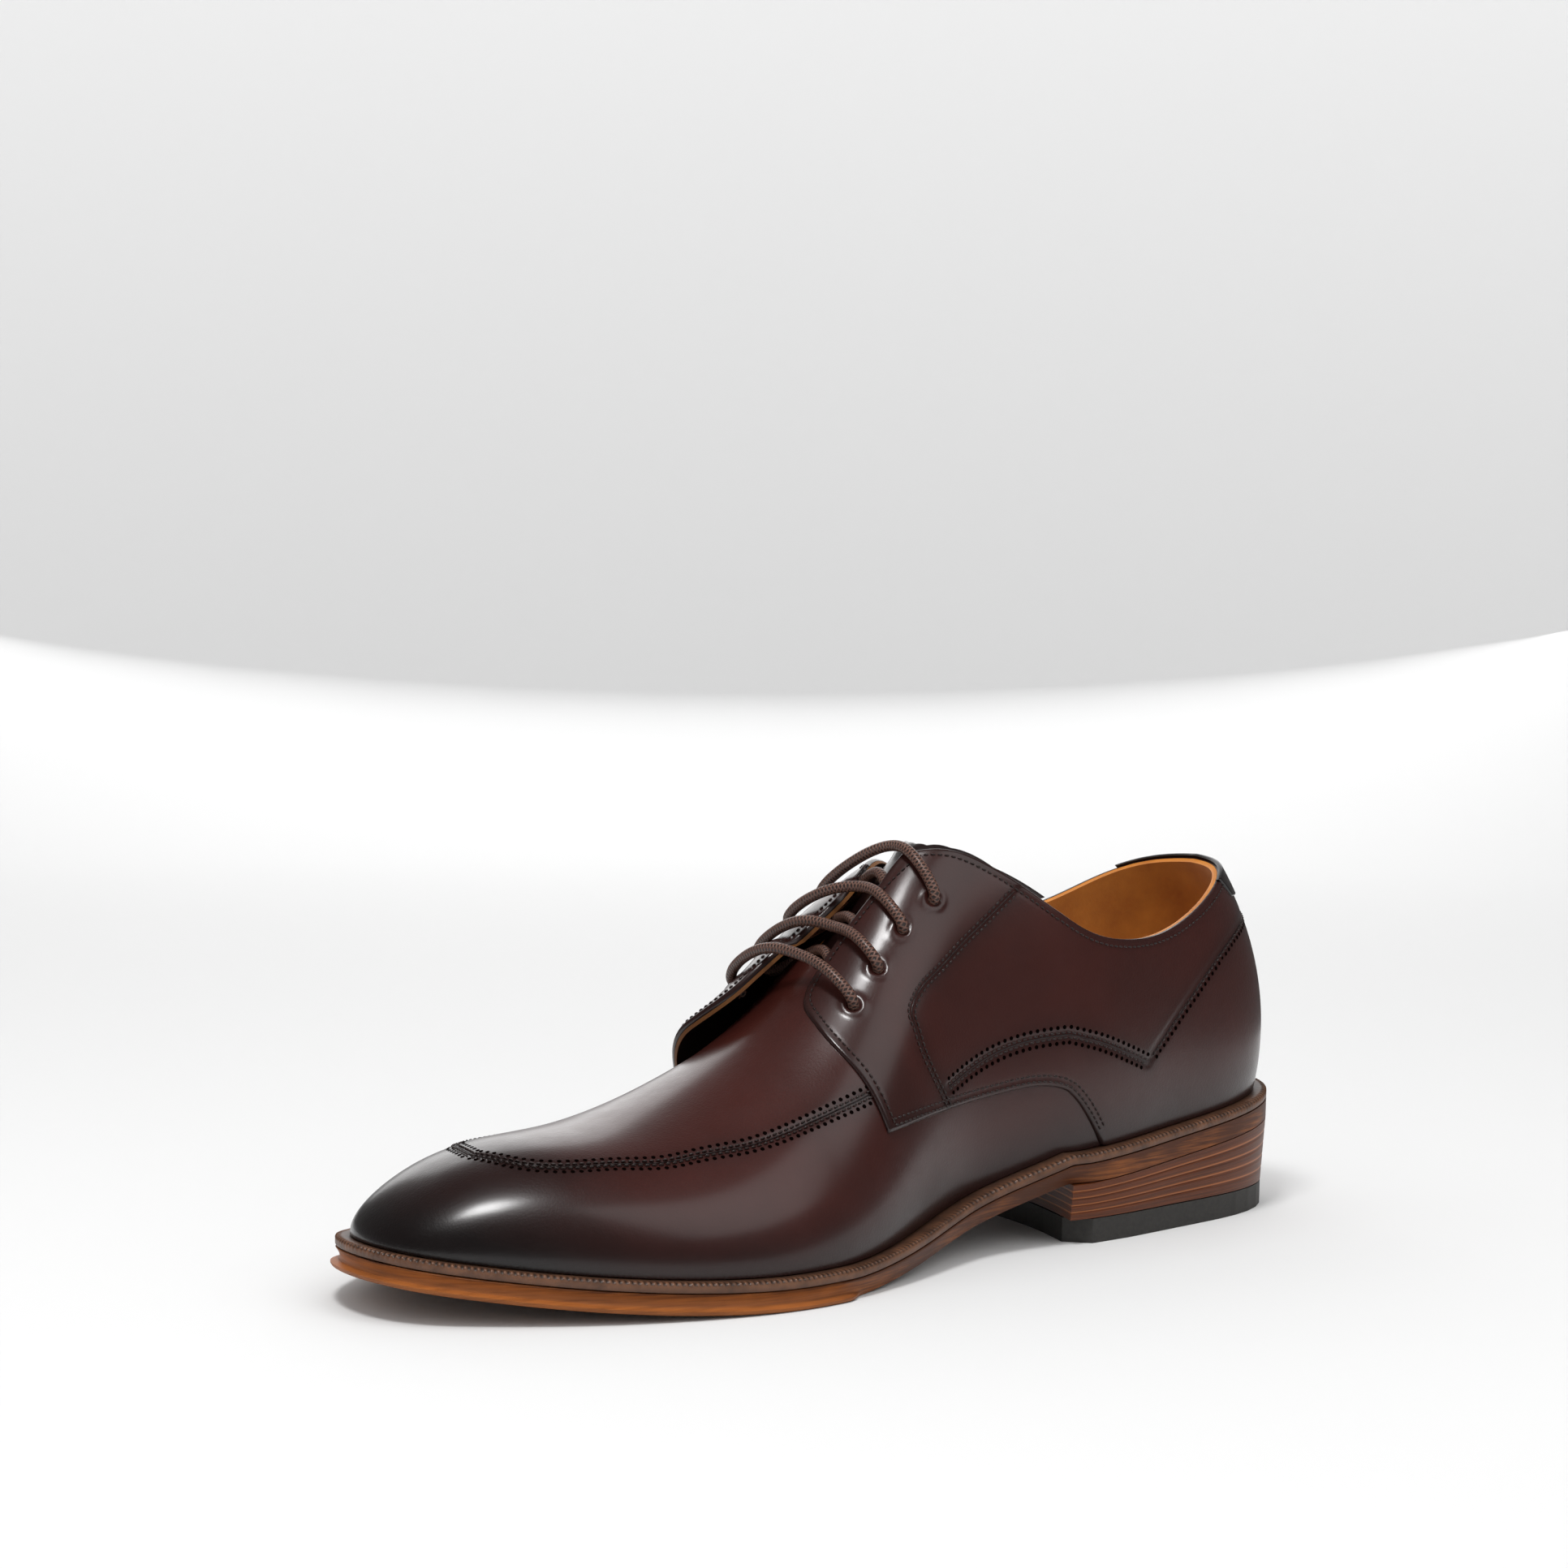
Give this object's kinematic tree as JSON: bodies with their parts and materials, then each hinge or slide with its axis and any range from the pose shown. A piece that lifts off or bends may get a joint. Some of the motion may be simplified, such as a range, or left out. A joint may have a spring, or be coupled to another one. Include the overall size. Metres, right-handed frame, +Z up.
{
  "type": "derby shoe",
  "caption": "Lace-up leather derby shoe for the right foot, with open facings over a tongue, a welted leather sole and a low stacked heel.",
  "frame": {"origin": "on the floor under the middle of the bounding box", "axes": "+X from heel to toe, +Y towards the wearer's inner side, +Z up"},
  "size_m": [0.3028, 0.1132, 0.1101],
  "materials": {
    "sole_leather": "smooth, lightly waxed vegetable-tanned sole leather",
    "welt_leather": "dark brown stained edge",
    "stacked_leather": "burnished stacked leather lifts",
    "heel_rubber": "matt black rubber",
    "lining_leather": "matt tan lining leather",
    "upper_leather": "polished dark brown calf, darker at the toe",
    "waxed_cord": "round braided waxed cord"
  },
  "bodies": {
    "root": {"outsole": "sole_leather", "welt": "welt_leather", "heel_stack": "stacked_leather", "top_lift": "heel_rubber", "insole": "lining_leather", "upper": "upper_leather", "tongue": "upper_leather", "lace_bar_1": "waxed_cord", "lace_bar_2": "waxed_cord", "lace_bar_3": "waxed_cord", "lace_bar_4": "waxed_cord"}
  },
  "joints": []
}
